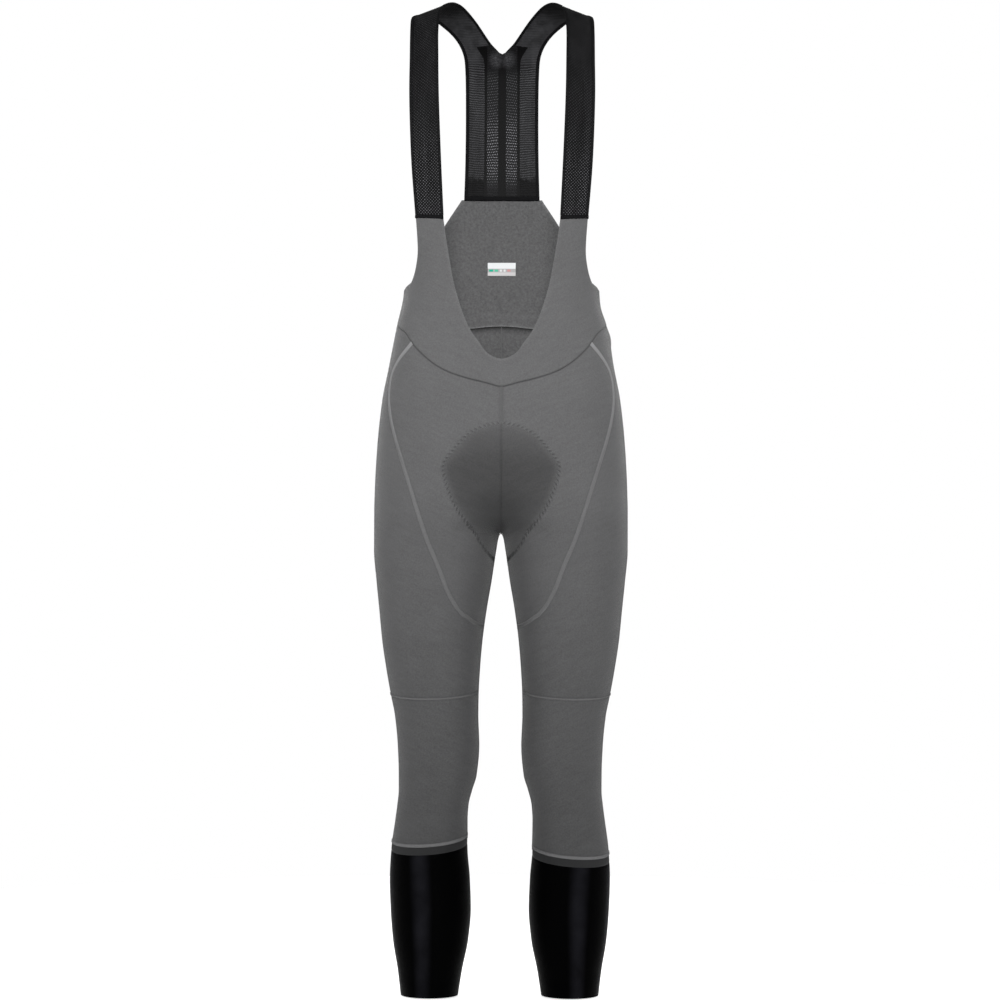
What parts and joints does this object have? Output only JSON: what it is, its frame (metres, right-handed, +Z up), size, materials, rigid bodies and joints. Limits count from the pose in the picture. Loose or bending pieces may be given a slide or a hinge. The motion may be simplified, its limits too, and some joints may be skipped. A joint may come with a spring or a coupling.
{
  "type": "cycling bib tights",
  "caption": "Men's grey cycling bib tights with black mesh straps, black cuffs and a seat pad, hollow as worn.",
  "frame": {"origin": "Between the two straps at the top of the wearer's shoulders, where the garment is held up", "axes": "+Z up, the front faces -Y, +X towards the wearer's left"},
  "size_m": [0.3512, 0.2299, 1.3723],
  "materials": {
    "grey_knit": "brushed",
    "dark_band": "matte",
    "black_cuff": "satin",
    "black_mesh": "matte",
    "black_tape": "matte",
    "pad_foam": "matte",
    "label_white": "satin"
  },
  "bodies": {
    "root": {"bib_front": "grey_knit", "bib_back": "grey_knit", "thigh_insert_left": "grey_knit", "thigh_insert_right": "grey_knit", "thigh_panel_left": "grey_knit", "thigh_panel_right": "grey_knit", "lower_leg_left": "grey_knit", "lower_leg_right": "grey_knit", "cuff_band_left": "dark_band", "cuff_band_right": "dark_band", "cuff_left": "black_cuff", "cuff_right": "black_cuff", "strap_left": "black_mesh", "strap_right": "black_mesh", "back_insert": "black_mesh", "strap_tape_left": "black_tape", "strap_tape_right": "black_tape", "back_tape": "black_tape", "seat_pad": "pad_foam", "size_label": "label_white"}
  },
  "joints": []
}
